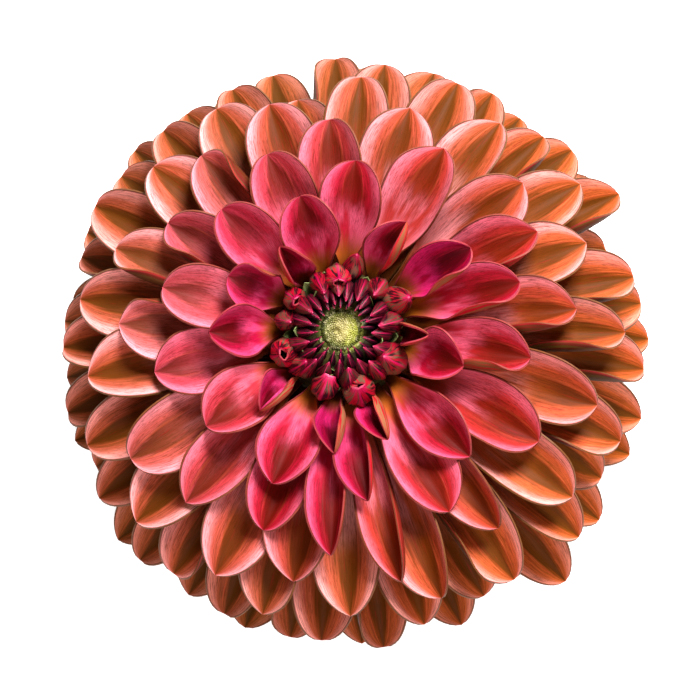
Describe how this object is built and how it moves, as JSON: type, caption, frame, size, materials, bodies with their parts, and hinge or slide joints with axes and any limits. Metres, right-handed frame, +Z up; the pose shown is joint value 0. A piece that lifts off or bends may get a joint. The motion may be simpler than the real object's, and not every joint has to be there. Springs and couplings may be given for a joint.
{
  "type": "dahlia bloom",
  "caption": "Fully open double dahlia flower head, coral with a magenta heart and a green eye, cut with a short stub of stem and lying face up.",
  "frame": {"origin": "on the surface that the bloom lies on, under the middle of the stem's cut face, which is the middle of the bloom's footprint", "axes": "+Z up the flower's axis, towards the viewer of the open face; +Y towards the top of the picture and +X towards its right"},
  "size_m": [0.1236, 0.1253, 0.0531],
  "materials": {
    "coral_petal": "soft velvety petal, coral with magenta at the foot and fine lengthwise veins",
    "magenta_petal": "soft velvety petal, magenta with a paler rim",
    "maroon_floret": "smooth rolled petal, dark maroon with red veins",
    "green_floret": "granular, pale yellow-green",
    "green_stem": "satin green stem, faintly ribbed",
    "green_bract": "matt leaf green with fine veins",
    "papery_bract": "thin and papery, olive to straw"
  },
  "bodies": {
    "root": {"outer_petals": "coral_petal", "inner_petals": "magenta_petal", "rolled_florets": "maroon_floret", "eye": "green_floret", "stem": "green_stem", "outer_bracts": "green_bract", "inner_bracts": "papery_bract"}
  },
  "joints": []
}
